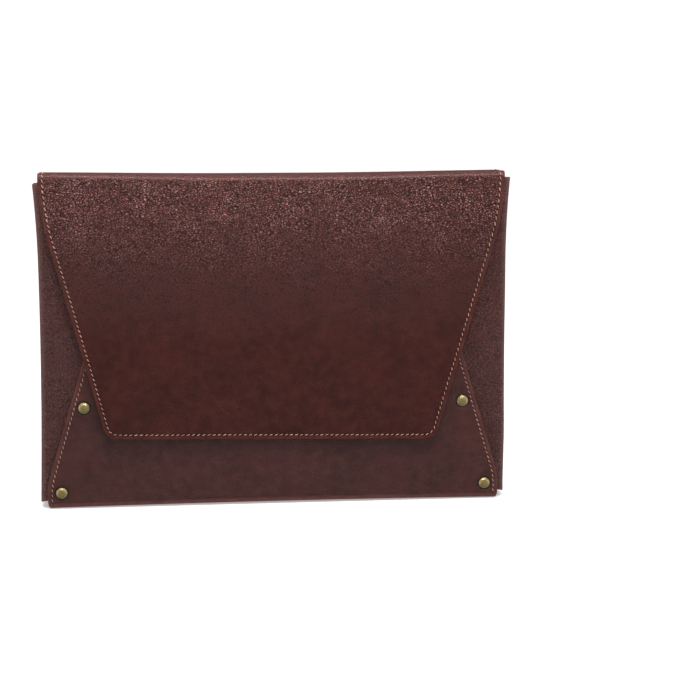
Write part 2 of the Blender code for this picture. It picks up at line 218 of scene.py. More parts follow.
# The camera: the point it looks at, how far off it stands, how it is turned, and its lens and reach
CAMERA_AIM = Vector((57.69, 0.0, 117.9)) * MM
CAMERA_DISTANCE = 1263.3 * MM
CAMERA_PITCH, CAMERA_YAW, CAMERA_ROLL = (math.radians(a) for a in (12.63, 5.92, 0.334))
CAMERA_LENS, CAMERA_REACH = 85.24, 300


def smooth(t):
    t = np.clip(t, 0, 1)
    return t * t * (3 - 2 * t)


def ramp(value, start, end):
    """0 up to the start, 1 from the end on, and smooth between. The start may be the higher of the two."""
    return smooth((value - start) / (end - start))


# ---- outlines in the flat ----------------------------------------------------------------


def arc(centre, radius, start, end, steps):
    turn = np.linspace(start, end, steps + 1)
    return np.stack([centre[0] + radius * np.cos(turn), centre[1] + radius * np.sin(turn)], 1)


def line(start, end, cell=CELL):
    steps = max(1, round(math.dist(start, end) / cell))
    return np.linspace(start, end, steps + 1)


def chain_of(*stretches):
    """Stretches end to end, without the points where one repeats the last one's end."""
    points = np.concatenate(stretches)
    moved = np.linalg.norm(np.diff(points, axis=0), axis=1) > TINY
    return points[np.r_[True, moved]]


def mirrored(points):
    return points[::-1] * (-1, 1)


def tapered_edge(half, rise, bend, slant, corner):
    """A tapered panel's right edge as (x, rise), to its corner's middle, and the corner's other half."""
    bend_x = half - bend
    corner_rise = rise - corner
    run = (corner_rise - (bend - corner) * math.sin(slant)) / math.cos(slant)
    corner_x = bend_x + (bend - corner) * math.cos(slant) - run * math.sin(slant)
    bent = arc((bend_x, 0), bend, 0, slant, BEND_STEPS)
    middle = (slant + QUARTER) / 2
    first = arc((corner_x, corner_rise), corner, slant, middle, CORNER_STEPS)
    second = arc((corner_x, corner_rise), corner, middle, QUARTER, CORNER_STEPS)
    return chain_of(bent, line(bent[-1], first[0]), first), second


def there_and_back(side, corner):
    """(chain, rows, columns) of a panel, from its right side to a corner's middle and the corner's rest."""
    flat = np.linspace(corner[-1], corner[-1] * (-1, 1), ACROSS - 2 * (len(corner) - 1) + 1)
    end = chain_of(corner, flat, mirrored(corner))
    return chain_of(side, end, mirrored(side)), len(side) - 1, len(end) - 1


def flap_outline():
    """The front half of the spine and the flap: down the right, along the bottom and up the left."""
    top = POCKET_TOP - FLAP_BOTTOM
    side, corner = [
        (0, top) + part * (1, -1)
        for part in tapered_edge(FLAP_HALF, top, FLAP_BEND, FLAP_SLANT, FLAP_CORNER)
    ]
    over = chain_of(
        line((FLAP_HALF, S_CENTRE), (FLAP_HALF, S_SPINE)),
        line((FLAP_HALF, S_SPINE), (FLAP_HALF, S_FLAP_BEND), FOLD_CELL),
        line((FLAP_HALF, S_FLAP_BEND), (FLAP_HALF, top)),
    )
    return there_and_back(chain_of(over, side), corner)


def front_outline():
    """The strip under the base and the front panel: up the right, along the top and down the left."""
    foot = S_FRONT + FRONT_BEND_Z - BASE_FOLD
    side, corner = [
        (0, foot) + part
        for part in tapered_edge(
            FRONT_HALF, FRONT_TOP - FRONT_BEND_Z, FRONT_BEND, FRONT_SLANT, FRONT_CORNER
        )
    ]
    under = chain_of(
        line((BASE_HALF, S_BACK_END), (BASE_HALF, S_BASE_BEND)),
        line((BASE_HALF, S_BASE_BEND), (BASE_HALF, S_BASE), FOLD_CELL),
        line((BASE_HALF, S_BASE), (BASE_HALF, S_FRONT_BEND)),
        line((BASE_HALF, S_FRONT_BEND), (FRONT_HALF, S_FRONT), FOLD_CELL),
    )
    return there_and_back(chain_of(under, side), corner)


def seam_columns(half):
    """The x of every column where a strip of this half width joins the back, from right to left."""
    core = np.linspace(half - RING_INSETS[-1], RING_INSETS[-1] - half, ACROSS + 1)
    ends = half - RING_INSETS[1:-1]
    return np.concatenate([[half], ends, core, -ends[::-1], [-half]])


def half_width(z):
    """Half the outer width at a height: least at the waist, more at the foot and the mouth."""
    below = (FOOT_HALF - WAIST_HALF) * ((WAIST_Z - z) / WAIST_Z) ** 2
    above = (MOUTH_HALF - WAIST_HALF) * ((z - WAIST_Z) / (POCKET_TOP - WAIST_Z)) ** 2
    return WAIST_HALF + np.where(z < WAIST_Z, below, above)


def girth_edge(wing_z, side_z, back_z, seam_half, way):
    """The body's top edge (way 1) or bottom edge (way -1) as (u, z), from the right wing to the left."""
    middle = (U_EDGE - WING_CORNER, wing_z - way * WING_CORNER)
    corner = arc(middle, WING_CORNER, way * QUARTER / 2, way * QUARTER, WING_CORNER_STEPS)
    wing = line((U_EDGE - WING_CORNER, wing_z), (U_WING, wing_z))
    steps = np.linspace(0, 1, FOLD_STEPS + 1)
    front_fold = np.stack([U_WING - FOLD_RUN * steps, wing_z + (side_z - wing_z) * smooth(steps)], 1)
    flat = line((U_WING - FOLD_RUN, side_z), (FLAT_HALF + FOLD_RUN, side_z), SIDE_CELL)
    to_flat = FLAT_HALF / float(half_width(back_z) - SIDE_FOLD)
    back_u = FLAT_HALF + FOLD_RUN + (seam_half * to_flat - FLAT_HALF - FOLD_RUN) * steps
    back_fold = np.stack([back_u, side_z + (back_z - side_z) * smooth(steps)], 1)
    half = chain_of(corner, wing, front_fold, flat, back_fold)
    seam_u = seam_columns(seam_half) * to_flat
    seam = np.stack([seam_u, np.full(len(seam_u), back_z)], 1)
    return chain_of(half, seam, mirrored(half))


def body_outline():
    """Wings, side folds and back as one: round by the right wing, the bottom, the left wing and the top."""
    top = girth_edge(POCKET_TOP, POCKET_TOP, POCKET_TOP, FLAP_HALF, 1)
    bottom = girth_edge(WING_BOTTOM, SIDE_BOTTOM, PANEL_BOTTOM, BASE_HALF, -1)
    centre = U_EDGE - WING_CORNER
    upper = arc((centre, POCKET_TOP - WING_CORNER), WING_CORNER, QUARTER / 2, 0, WING_CORNER_STEPS)
    lower = arc((centre, WING_BOTTOM + WING_CORNER), WING_CORNER, 0, -QUARTER / 2, WING_CORNER_STEPS)
    side = chain_of(upper, line(upper[-1], lower[0]), lower)
    chain = chain_of(side, bottom, mirrored(side), top[::-1])[:-1]
    return chain, len(side) - 1, len(bottom) - 1


# ---- patterns ----------------------------------------------------------------------------


def inward_normals(chain, closed):
    ahead = np.roll(chain, -1, 0) - np.roll(chain, 1, 0)
    if not closed:
        ahead[0], ahead[-1] = chain[1] - chain[0], chain[-1] - chain[-2]
    ahead /= np.linalg.norm(ahead, axis=1)[:, None]
    return np.stack([-ahead[:, 1], ahead[:, 0]], 1) * np.sign(signed_area(chain))


def signed_area(outline):
    x, s = outline.T
    return float((x * np.roll(s, -1) - np.roll(x, -1) * s).sum() / 2)


def grid_faces(core):
    a, b, c, d = core[:-1, :-1], core[:-1, 1:], core[1:, 1:], core[1:, :-1]
    return np.stack([a, b, c, d], -1).reshape(-1, 4)


def row_faces(count, here, there):
    """The faces between the rows that follow the edge, each row with so many points."""
    first = np.arange(len(RING_INSETS) - 1)[:, None] * count
    corners = [first + here, first + there, first + count + there, first + count + here]
    return np.stack(corners, -1).reshape(-1, 4)


def core_grid(count, rows, cols, closed):
    """The grid inside the last row as point numbers, and the part of it whose points are its own."""
    base = (len(RING_INSETS) - 1) * count
    core = np.empty((rows + 1, cols + 1), int)
    core[:, 0] = base + np.arange(rows + 1)
    core[rows] = base + rows + np.arange(cols + 1)
    core[:, cols] = base + 2 * rows + cols - np.arange(rows + 1)
    if closed:
        core[0] = base + (count - np.arange(cols + 1)) % count
    own = (slice(1 if closed else 0, rows), slice(1, cols))
    core[own] = base + count + np.arange(core[own].size).reshape(core[own].shape)
    return core, own


def fill(core, border, closed):
    """The grid's points, blended from its four sides, which lie on the border's last row."""
    grid = np.zeros((*core.shape, 2))
    given = core < len(border)
    grid[given] = border[core[given]]
    if not closed:
        grid[0] = np.linspace(grid[0, 0], grid[0, -1], core.shape[1])
    t = np.linspace(0, 1, core.shape[0])[:, None, None]
    q = np.linspace(0, 1, core.shape[1])[None, :, None]
    corners = (1 - t) * ((1 - q) * grid[0, 0] + q * grid[0, -1])
    corners = corners + t * ((1 - q) * grid[-1, 0] + q * grid[-1, -1])
    return (1 - t) * grid[:1] + t * grid[-1:] + (1 - q) * grid[:, :1] + q * grid[:, -1:] - corners


def outer_loop(count, core, closed):
    """The points round the whole pattern; an open chain is closed across the start of its grid."""
    loop = np.arange(count)
    if closed:
        return loop
    up = np.arange(1, len(RING_INSETS)) * count
    return np.concatenate([loop, up + count - 1, core[0, -2:0:-1], up[::-1]])


def framed(chain, rows, cols, sewn, closed, cut, margin):
    """A pattern filled inwards from its outline: rows along the edge first, then a grid.

    The chain runs down one side in so many rows, across in so many columns and up the other side. A closed
    one also goes back along the top. An edge that isn't cut is where the leather runs on into another
    piece, and no cut given means that every edge is one. The margin sets the cut edges back.
    """
    count = len(chain)
    cut = np.ones(count, bool) if cut is None else cut
    normals = inward_normals(chain, closed)
    outline = chain + normals * (margin * cut)[:, None]
    insets = np.repeat(RING_INSETS[:, None], count, 1)
    insets[0] *= cut
    rings = outline + normals * insets[..., None]
    border = rings.reshape(-1, 2)
    core, own = core_grid(count, rows, cols, closed)
    points = np.concatenate([border, fill(core, border, closed)[own].reshape(-1, 2)])
    here = np.arange(count if closed else count - 1)
    there = (here + 1) % count
    cut_on = cut[here] & cut[there]

    loop = outer_loop(count, core, closed)
    loop_out, loop_in = points[loop], np.zeros((len(loop), 2))
    loop_out[:count] = outline
    loop_in[:count] = normals * cut[:, None]

    order = (np.arange(count) + (np.argmin(sewn) if closed else 0)) % count
    seam = rings[STITCH_RING, order]
    run = np.r_[0, np.cumsum(np.linalg.norm(np.diff(seam, axis=0), axis=1))]
    run *= round(run[-1] / PITCH) / run[-1]
    along = np.empty(count)
    along[order] = run

    relief, across, phase = np.zeros(len(points)), np.full(len(points), FAR), np.zeros(len(points))
    relief[:count] = EDGE_DROP * cut
    relief[STITCH_RING * count : (STITCH_RING + 1) * count] = GROOVE_DEPTH * sewn
    across[: len(border)] = np.where(sewn, (RING_INSETS[:, None] + margin - STITCH_INSET) / MM, FAR).ravel()
    phase[: len(border)] = np.tile(along, len(RING_INSETS))
    return SimpleNamespace(
        points=points,
        faces=np.concatenate([row_faces(count, here, there), grid_faces(core)]),
        loop=loop,
        loop_out=loop_out,
        loop_in=loop_in,
        relief=relief,
        across=across,
        along=phase,
        cuts=np.stack([outline[here][cut_on], outline[there][cut_on]], 1),
        sewing=stitch_runs(seam, run, sewn[order]),
    )


def stitch_runs(points, along, sewn):
    """Each unbroken stretch of the stitch line, as (points, where each lies in stitches from the start)."""
    ends = np.flatnonzero(np.diff(np.r_[False, sewn, False].astype(int)))
    return [(points[a:b], along[a:b]) for a, b in zip(ends[::2], ends[1::2]) if b - a > 1]


def strip(half, levels, sewn_to, margin):
    """The pattern of a plain strip with two cut ends, sewn along them as far as the level sewn_to."""
    x = seam_columns(half - margin)
    x[0] -= RING_INSETS[0]
    x[-1] += RING_INSETS[0]
    rows, cols = len(levels), len(x)
    core = np.arange(rows * cols).reshape(rows, cols)
    points = np.stack(np.broadcast_arrays(x[None, :], levels[:, None]), -1).reshape(-1, 2)
    loop = np.concatenate([core[0, :-1], core[:-1, -1], core[-1, :0:-1], core[:0:-1, 0]])
    loop_out, loop_in = points[loop], np.zeros((len(loop), 2))
    at_end = np.isin(loop, core[:, [0, -1]])
    side = np.sign(loop_out[:, 0])
    loop_out[at_end, 0] = (side * (half - margin))[at_end]
    loop_in[at_end, 0] = -side[at_end]
    inset = half - np.abs(points[:, 0])
    sewn = (points[:, 1] <= sewn_to) & (inset < RING_INSETS[-2] + CLOSE)
    relief = EDGE_DROP * np.isin(np.arange(len(points)), core[:, [0, -1]]).astype(float)
    relief += GROOVE_DEPTH * (sewn & (np.abs(inset - STITCH_INSET) < CLOSE))
    reach = np.linspace(levels[0], sewn_to, SEAM_STEPS + 1)
    run = (reach - levels[0]) / PITCH
    return SimpleNamespace(
        points=points,
        faces=grid_faces(core),
        loop=loop,
        loop_out=loop_out,
        loop_in=loop_in,
        relief=relief,
        across=np.where(sewn, (inset - STITCH_INSET) / MM, FAR),
        along=(points[:, 1] - levels[0]) / PITCH,
        cuts=np.array([[(way * half, levels[0]), (way * half, levels[-1])] for way in (1, -1)]),
        sewing=[
            (np.stack([np.full(len(reach), way * (half - STITCH_INSET)), reach], 1), run) for way in (1, -1)
        ],
    )


def edge_distance(points, cuts):
    """How far each point is from the nearest cut edge."""
    nearest = np.full(len(points), np.inf)
    for a, b in cuts:
        d = b - a
        t = np.clip((points - a) @ d / (d @ d), 0, 1)
        nearest = np.minimum(nearest, np.linalg.norm(points - a - t[:, None] * d, axis=1))
    return nearest


# ---- carrying a pattern over the folds ---------------------------------------------------


def follow(path, s):
    """Points and outward normals at distances s along straight legs joined by quarter turns."""
    start, heading, legs = path
    corner, done = np.array(start, float), 0.0
    points, normals = np.zeros((len(s), 2)), np.zeros((len(s), 2))
    ahead = np.array([math.cos(heading), math.sin(heading)])
    for length, radius in legs:
        out = np.array([-ahead[1], ahead[0]])
        on = slice(None) if done == 0 else s >= done
        points[on] = corner + np.outer(s[on] - done, ahead)
        normals[on] = out
        done += length
        corner = corner + length * ahead
        if radius:
            centre = corner - out * radius
            on = s >= done
            turn = np.minimum((s[on] - done) / radius, QUARTER)
            normals[on] = np.outer(np.cos(turn), out) + np.outer(np.sin(turn), ahead)
            points[on] = centre + radius * normals[on]
            done += radius * QUARTER
            corner = centre + radius * ahead
            ahead = -out
    return points, normals


def over_belt(flat, depth):
    """Carries (x, s) points over the sleeve's top and base folds."""
    yz, normal = follow(BELT, flat[:, 1])
    return np.column_stack([flat[:, 0], yz - normal * depth[:, None]])


def round_girth(flat, depth):
    """Carries (u, z) points round the sleeve's sides, following the waist."""
    side = np.where(flat[:, 0] < 0, -1.0, 1.0)
    xy, normal = follow(GIRTH, np.abs(flat[:, 0]))
    fit = half_width(flat[:, 1]) - SIDE_FOLD
    x = np.where(xy[:, 0] <= FLAT_HALF, xy[:, 0] * fit / FLAT_HALF, xy[:, 0] + fit - FLAT_HALF)
    x = side * (x - normal[:, 0] * depth)
    return np.column_stack([x, xy[:, 1] - normal[:, 1] * depth, flat[:, 1]])


def field(points, scale, seed):
    """A gentle noise over (x, z), the same for every layer on one side."""
    return np.array([noise.noise(Vector((x / scale, seed, z / scale))) for x, _, z in points])


def settle(points):
    """What all layers share: a slight bow of the soft walls, slow ripples and the arch of the base."""
    x, y, z = points.T
    width_share = np.clip(1 - (x / WAIST_HALF) ** 2, 0, 1) ** 2
    bow = PILLOW * width_share * np.sin(np.pi * np.clip(z / HEIGHT, 0, 1))
    calm = ramp(np.abs(x), WAIST_HALF, WAIST_HALF - CALM_SIDE)
    calm = calm * ramp(z, HEIGHT, HEIGHT - CALM_TOP) * ramp(z, 0, CALM_BASE)
    bow += RIPPLE * calm * np.where(y < 0, field(points, *FRONT_RIPPLES), field(points, *BACK_RIPPLES))
    arch = BASE_ARCH * (1 - (x / BASE_HALF) ** 2) * ramp(z, ARCH_TOP, 0)
    return np.column_stack([x, y * (1 + bow / BACK_Y), z + np.clip(arch, 0, None)])


def settle_top(x, y, z, share):
    """Lifts and flares the top fold by this share. It sags between its stiff ends, which stand up."""
    sag = TOP_SAG * (1 - np.clip(np.abs(x) / FLAP_HALF, 0, 1) ** 5)
    end = END_RISE_FRONT + (END_RISE_BACK - END_RISE_FRONT) * ramp(y, -END_BLEND, END_BLEND)
    rise = TOP_RISE - sag + end * ramp(np.abs(x), END_FROM, END_TO)
    return np.column_stack([x * (1 + TOP_FLARE * share), y, z + rise * share])


def settle_body(points):
    """The wings' upper corners stand up a little, the right one more, and the right side bellies out."""
    x, y, z = points.T
    most = np.where(x > 0, RIGHT_WING_RISE, LEFT_WING_RISE)
    rise = most * ramp(y, BACK_Y, WING_Y) * ramp(np.abs(x), WING_FROM, WING_TO)
    rise = rise * ramp(z, WING_RISE_FROM, POCKET_TOP)
    belly = RIGHT_BELLY * ramp(x, BELLY_FROM, BELLY_TO) * ramp(z, 0, BELLY_FULL)
    belly = belly * (1 - BELLY_EASE * ramp(z, EASE_FROM, EASE_TO))
    return settle(np.column_stack([x + belly, y, z + rise]))


def settle_spine(points):
    x, y, z = settle(points).T
    return settle_top(x, y, z, ramp(z, TOP_START, TOP_FULL))


def settle_flap(points):
    """The flap hangs a little short and askew and draws in on its right. It tucks in under its fold and
    stands off at its lower edge, most at the right."""
    x, y, z = settle(points).T
    right = x / FLAP_HALF
    down = np.clip((POCKET_TOP - z) / (POCKET_TOP - FLAP_BOTTOM), 0, 1)
    tuck = 1 - FLAP_TUCK / -FLAP_Y * ramp(z, FRONT_TOP, BACK_TOP) ** 2
    wave = FLAP_WAVE * field(points, *FLAP_WAVES) * smooth(down * 4)
    lift = FLAP_LIFT * down**3 * (LEFT_LIFT + (1 - LEFT_LIFT) * smooth(right + 0.2)) + wave
    y = np.where(y < 0, y * tuck, y) - lift
    x, y, z = settle_top(x, y, z, ramp(z, FLAP_TOP_START, FLAP_TOP_FULL)).T
    aside = (FLAP_SHIFT + FLAP_SQUEEZE * np.clip(x / FLAP_HALF, 0, 1)) * down**1.6
    return np.column_stack([x - aside, y, z + (FLAP_SHORTER - FLAP_TILT * x) * down])


def flap_carry(flat, depth):
    return settle_flap(over_belt(flat, depth))


def spine_carry(flat, depth):
    return settle_spine(over_belt(flat, depth))


def front_carry(flat, depth):
    return settle(over_belt(flat, depth))


def body_carry(flat, depth):
    return settle_body(round_girth(flat, depth))


def window(value, low, high):
    """1 from low to high, fading out on both sides."""
    return ramp(value, low - FADE, low) * ramp(value, high + FADE, high)


def belt_folds(flat):
    """1 on the top and base folds, where the leather is stretched and rubbed, and 0 on the flat."""
    s = flat[:, 1]
    top = window(s, S_FLAP_BEND + 0.6 * TOP_FOLD, S_BACK)
    return np.maximum(top, window(s, S_BASE_BEND, S_FRONT - 0.5 * BASE_FOLD))


def girth_folds(flat):
    """1 on the folds round the sides, and 0 on the flat."""
    return window(np.abs(flat[:, 0]), FLAT_HALF + SIDE_FOLD, U_WING - SIDE_FOLD)


def belt_hide(flat):
    return flat


def body_hide(flat):
    """The body's (u, z) as places on the hide, where s goes on from the long strip's."""
    return np.column_stack([flat[:, 0], S_BACK + BACK_TOP - flat[:, 1]])


# ---- meshes ------------------------------------------------------------------------------


def add_mesh(name, points, faces, material, smooth_angle=50):
    mesh = bpy.data.meshes.new(name)
    mesh.from_pydata(points.tolist(), [], [list(map(int, face)) for face in faces])
    work = bmesh.new()
    work.from_mesh(mesh)
    bmesh.ops.recalc_face_normals(work, faces=work.faces)
    work.to_mesh(mesh)
    work.free()
    mesh.shade_smooth()
    mesh.set_sharp_from_angle(angle=math.radians(smooth_angle))
    mesh.materials.append(material)
    obj = bpy.data.objects.new(name, mesh)
    bpy.context.scene.collection.objects.link(obj)
    return obj


def store(obj, name, values):
    attribute = obj.data.attributes.new(name, "FLOAT", "POINT")
    attribute.data.foreach_set("value", np.asarray(values, np.float32))


def store_uv(obj, name, values):
    layer = obj.data.uv_layers.new(name=name)
    corners = np.zeros(len(obj.data.loops), int)
    obj.data.loops.foreach_get("vertex_index", corners)
    layer.data.foreach_set("uv", np.asarray(values, np.float32)[corners].ravel())


def thick_sheet(name, pattern, carry, top, bottom, material, folds, hide):
    """A sheet from its pattern: grain side, flesh side and a rounded rim between them."""
    flat, loop, thickness = pattern.points, pattern.loop, bottom - top
    count, around = len(flat), len(loop)
    places = [flat, flat]
    depths = [top + pattern.relief, np.full(count, bottom)]
    edges = [edge_distance(flat, pattern.cuts)] * 2
    rings = [loop]
    for k, (inset, share) in enumerate(zip(RIM_INSETS, RIM_DEPTHS)):
        places.append(pattern.loop_out + pattern.loop_in * inset)
        depths.append(np.full(around, top + thickness * share))
        edges.append(np.where(pattern.loop_in.any(1), 0.0, edges[0][loop]))
        rings.append(2 * count + k * around + np.arange(around))
    rings.append(loop + count)
    faces = [pattern.faces, pattern.faces[:, ::-1] + count]
    for near, far in zip(rings, rings[1:]):
        faces.append(np.stack([near, far, np.roll(far, -1), np.roll(near, -1)], 1))
    flat_all, depth_all = np.concatenate(places), np.concatenate(depths)
    obj = add_mesh(name, carry(flat_all, depth_all), np.concatenate(faces), material)
    out_of_rim = np.concatenate([np.zeros((2 * count, 2))] + [-pattern.loop_in] * len(RIM_INSETS))
    store_uv(obj, "hide", hide(flat_all) + out_of_rim * (depth_all - top)[:, None])
    rest = len(flat_all) - count
    store(obj, "edge", np.concatenate(edges) / MM)
    store(obj, "across", np.r_[pattern.across, np.full(rest, FAR)])
    store(obj, "along", np.r_[pattern.along, np.zeros(rest)])
    store(obj, "depth", (depth_all - top) / thickness)
    store(obj, "burnish", folds(flat_all))
    return obj


def tube_faces(ids):
    """The faces of a closed tube whose rings of points are the rows of ids."""
    around = np.roll(ids, -1, 1)
    sides = np.stack([ids[:-1], ids[1:], around[1:], around[:-1]], -1).reshape(-1, 4).tolist()
    return [*sides, ids[0].tolist(), ids[-1][::-1].tolist()]


def sew(name, pattern, carry, material, seed):
    """One short slanted loop of thread for every stitch along the pattern's stitch lines."""
    t = np.linspace(0, 1, STITCH_POINTS)
    turns = np.linspace(0, 2 * np.pi, THREAD_SIDES, endpoint=False)
    rng = np.random.default_rng(seed)
    size = STITCH_POINTS * THREAD_SIDES
    flats, depths, tones, wraps, faces = [], [], [], [], []
    for points, along in pattern.sewing:
        for k in range(math.ceil(along[0]), math.floor(along[-1])):
            where = k + STITCH_START + STITCH_REACH * t
            centre = np.column_stack([np.interp(where, along, points[:, i]) for i in (0, 1)])
            ahead = np.gradient(centre, axis=0)
            ahead /= np.linalg.norm(ahead, axis=1)[:, None]
            aside = np.stack([-ahead[:, 1], ahead[:, 0]], 1)
            swing = (t - 0.5) * STITCH_SLANT + rng.normal(0, STITCH_WOBBLE)
            radius = THREAD_RADIUS * (1 - THREAD_TAPER * (2 * t - 1) ** 6) * rng.uniform(*THREAD_SPREAD)
            rise = STITCH_RISE - STITCH_DIVE * (2 * t - 1) ** 4
            sway = swing[:, None] + np.outer(radius, np.cos(turns))
            faces += tube_faces(len(flats) * size + np.arange(size).reshape(STITCH_POINTS, THREAD_SIDES))
            flats.append((centre[:, None] + sway[..., None] * aside[:, None]).reshape(-1, 2))
            depths.append(-(rise[:, None] + np.outer(radius, np.sin(turns))).ravel())
            wraps.append(np.column_stack([np.repeat(where, THREAD_SIDES), np.tile(turns, STITCH_POINTS)]))
            tones.append(np.full(size, rng.uniform()))
    points = carry(np.concatenate(flats), np.concatenate(depths))
    obj = add_mesh(name, points, faces, material, smooth_angle=80)
    store_uv(obj, "wrap", np.concatenate(wraps))
    store(obj, "tone", np.concatenate(tones))
    return obj


def turned(name, profile, place, material):
    """A piece turned about an axis that points forward; profile rows are (radius, distance forward)."""
    turns = np.linspace(0, 2 * np.pi, TURNED_STEPS, endpoint=False)
    points = [(r * math.cos(a), -f, r * math.sin(a)) for r, f in profile for a in turns]
    faces = tube_faces(np.arange(len(points)).reshape(len(profile), -1))
    return add_mesh(name, np.array(points) + place, faces, material, smooth_angle=40)


# ---- materials ---------------------------------------------------------------------------


def rgb(red, green, blue):
    return (red, green, blue, 1.0)


# Leather: mottled brown with redder edges and folds, multiplied by a tone given to each piece. The tones are
# painted light: the same hide made lighter or darker piece by piece for the light that falls on it
HIDE_DARK, HIDE_LIGHT = rgb(0.024, 0.0048, 0.0034), rgb(0.034, 0.0060, 0.0040)
HIDE_CLOUD, HIDE_SPECK = rgb(0.049, 0.0088, 0.0054), rgb(0.022, 0.006, 0.005)
EDGE_BAND, BURNISHED = rgb(0.085, 0.019, 0.0125), rgb(0.08, 0.0185, 0.0125)

# Leather: what the grain, the creases, the stitch line and the rivets add over it. CROWN_WEAR_AND_HIGHLIGHT
# is painted highlight on the pebble tops, partly a worn lighter tone; the glints are painted highlights; the
# cracks, groove, holes and rivet rings get painted shade; the creases are lighter in their own colour
CROWN_WEAR_AND_HIGHLIGHT, PAINTED_GLINT = rgb(0.135, 0.038, 0.029), rgb(0.30, 0.165, 0.15)
CRACK_SHADE, CREASE = rgb(0.008, 0.0024, 0.002), rgb(0.11, 0.034, 0.025)
GROOVE_SHADE, HOLE_SHADE = rgb(0.014, 0.004, 0.0035), rgb(0.008, 0.004, 0.0035)
RIVET_RING_SHADE = rgb(0.004, 0.0016, 0.0014)

# Leather: the painted cut edge and the flesh side, each from one colour to another
CUT_EDGE = rgb(0.04, 0.011, 0.008), rgb(0.075, 0.02, 0.013)
FLESH = rgb(0.10, 0.05, 0.033), rgb(0.17, 0.09, 0.06)

# Suede, thread and metals
SUEDE = rgb(0.132, 0.067, 0.046), rgb(0.158, 0.084, 0.057)
SUEDE_NAP, SUEDE_EDGE = rgb(0.075, 0.037, 0.027), rgb(0.06, 0.026, 0.019)
THREAD = rgb(0.30, 0.135, 0.09), rgb(0.45, 0.23, 0.165)
THREAD_TWIST_SHADE, THREAD_FUZZ = rgb(0.17, 0.07, 0.045), rgb(0.66, 0.42, 0.31)
BRASS = rgb(0.84, 0.68, 0.33), rgb(0.64, 0.48, 0.2)
NICKEL = rgb(0.60, 0.58, 0.55), rgb(0.42, 0.41, 0.40)
WHITE = rgb(0.88, 0.88, 0.89), rgb(0.92, 0.92, 0.92)


def feed(tree, socket, value):
    """Links another node's output to the socket, or sets the socket to a number or colour."""
    if isinstance(value, bpy.types.NodeSocket):
        tree.links.new(value, socket)
    else:
        socket.default_value = value


def add_node(tree, kind, inputs, **settings):
    made = tree.nodes.new("ShaderNode" + kind)
    for key, value in settings.items():
        setattr(made, key, value)
    for key, value in inputs.items():
        feed(tree, made.inputs[key], value)
    return made


class Shader:
    """A new material's nodes. Values passed in are numbers, colours or other nodes' outputs."""

    def __init__(self, name):
        self.material = bpy.data.materials.new(name)
        self.material.use_nodes = True
        self.tree = self.material.node_tree
        self.tree.nodes.clear()

    def node(self, kind, inputs, **settings):
        return add_node(self.tree, kind, inputs, **settings)

    def maths(self, operation, a, b=0.0, c=0.0):
        return self.node("Math", {0: a, 1: b, 2: c}, operation=operation).outputs[0]

    def product(self, first, *others):
        for other in others:
            first = self.maths("MULTIPLY", first, other)
        return first

    def plus(self, value, other, times):
        """The value plus the other one so many times."""
        return self.maths("MULTIPLY_ADD", other, times, value)

    def away_from(self, value, middle):
        return self.maths("ABSOLUTE", self.maths("SUBTRACT", value, middle))

    def remap(self, value, low, high, to_low=0.0, to_high=1.0):
        inputs = {"Value": value, 1: low, 2: high, 3: to_low, 4: to_high}
        return self.node("MapRange", inputs, interpolation_type="SMOOTHSTEP").outputs[0]

    def mix(self, share, a, b, how="MIX"):
        made = self.node("Mix", {}, data_type="RGBA", blend_type=how)
        for key, value in {"Factor": share, "A": a, "B": b}.items():
            feed(self.tree, [s for s in made.inputs if s.name == key and s.enabled][0], value)
        return [s for s in made.outputs if s.enabled][0]

    def attribute(self, name):
        return self.node("Attribute", {}, attribute_name=name).outputs["Fac"]

    def vector(self, operation, vector, by):
        key = "Scale" if operation == "SCALE" else 1
        return self.node("VectorMath", {0: vector, key: by}, operation=operation).outputs[0]

    def uv(self, layer):
        return self.node("UVMap", {}, uv_map=layer).outputs[0]

    def millimetres(self, layer):
        """A stored flat map in millimetres."""
        return self.vector("SCALE", self.uv(layer), 1000.0)

    def object_place(self):
        return self.node("TexCoord", {}).outputs["Object"]

    def shifted(self, vector, by):
        return self.vector("ADD", vector, by)

    def stretched(self, vector, by):
        return self.vector("MULTIPLY", vector, by)

    def noise(self, vector, size, detail=2.0, roughness=0.5, distortion=0.0, output="Fac"):
        """Noise whose bumps are about this size, in the vector's own unit."""
        inputs = {"Vector": vector, "Scale": 1 / size, "Detail": detail, "Roughness": roughness}
        inputs["Distortion"] = distortion
        return self.node("TexNoise", inputs).outputs[output]

    def warped(self, vector, size, amount):
        """The vector pushed about by noise, by up to half this amount."""
        push = self.vector("SUBTRACT", self.noise(vector, size, output="Color"), (0.5, 0.5, 0.5))
        return self.shifted(vector, self.vector("SCALE", push, amount))

    def pebbles(self, vector, size):
        """Rounded cells of about this size: 0 in the cracks between them, 1 on top."""
        inputs = {"Vector": vector, "Scale": 1 / size, "Randomness": 0.95}
        cells = self.node("TexVoronoi", inputs, feature="DISTANCE_TO_EDGE").outputs["Distance"]
        return self.remap(cells, 0.0, 0.22)

    def creases(self, vector, size, width, seed):
        """Thin wandering lines: 1 on a line and 0 away from it."""
        wave = self.noise(self.shifted(vector, (seed, seed, 0)), size, 3.0, 0.45, 0.4)
        return self.remap(self.away_from(wave, 0.5), 0.0, width, 1.0, 0.0)

    def finish(self, colour, roughness, height, **fixed):
        """Ends in the surface shader. The height is in millimetres."""
        bump = self.node("Bump", {"Height": height, "Distance": MM, "Strength": 1.0})
        inputs = {"Base Color": colour, "Roughness": roughness, "Normal": bump.outputs[0]}
        inputs.update({key.replace("_", " "): value for key, value in fixed.items()})
        surface = self.node("BsdfPrincipled", inputs)
        output = self.node("OutputMaterial", {"Surface": surface.outputs[0]})
        output.is_active_output = True
        return self.material


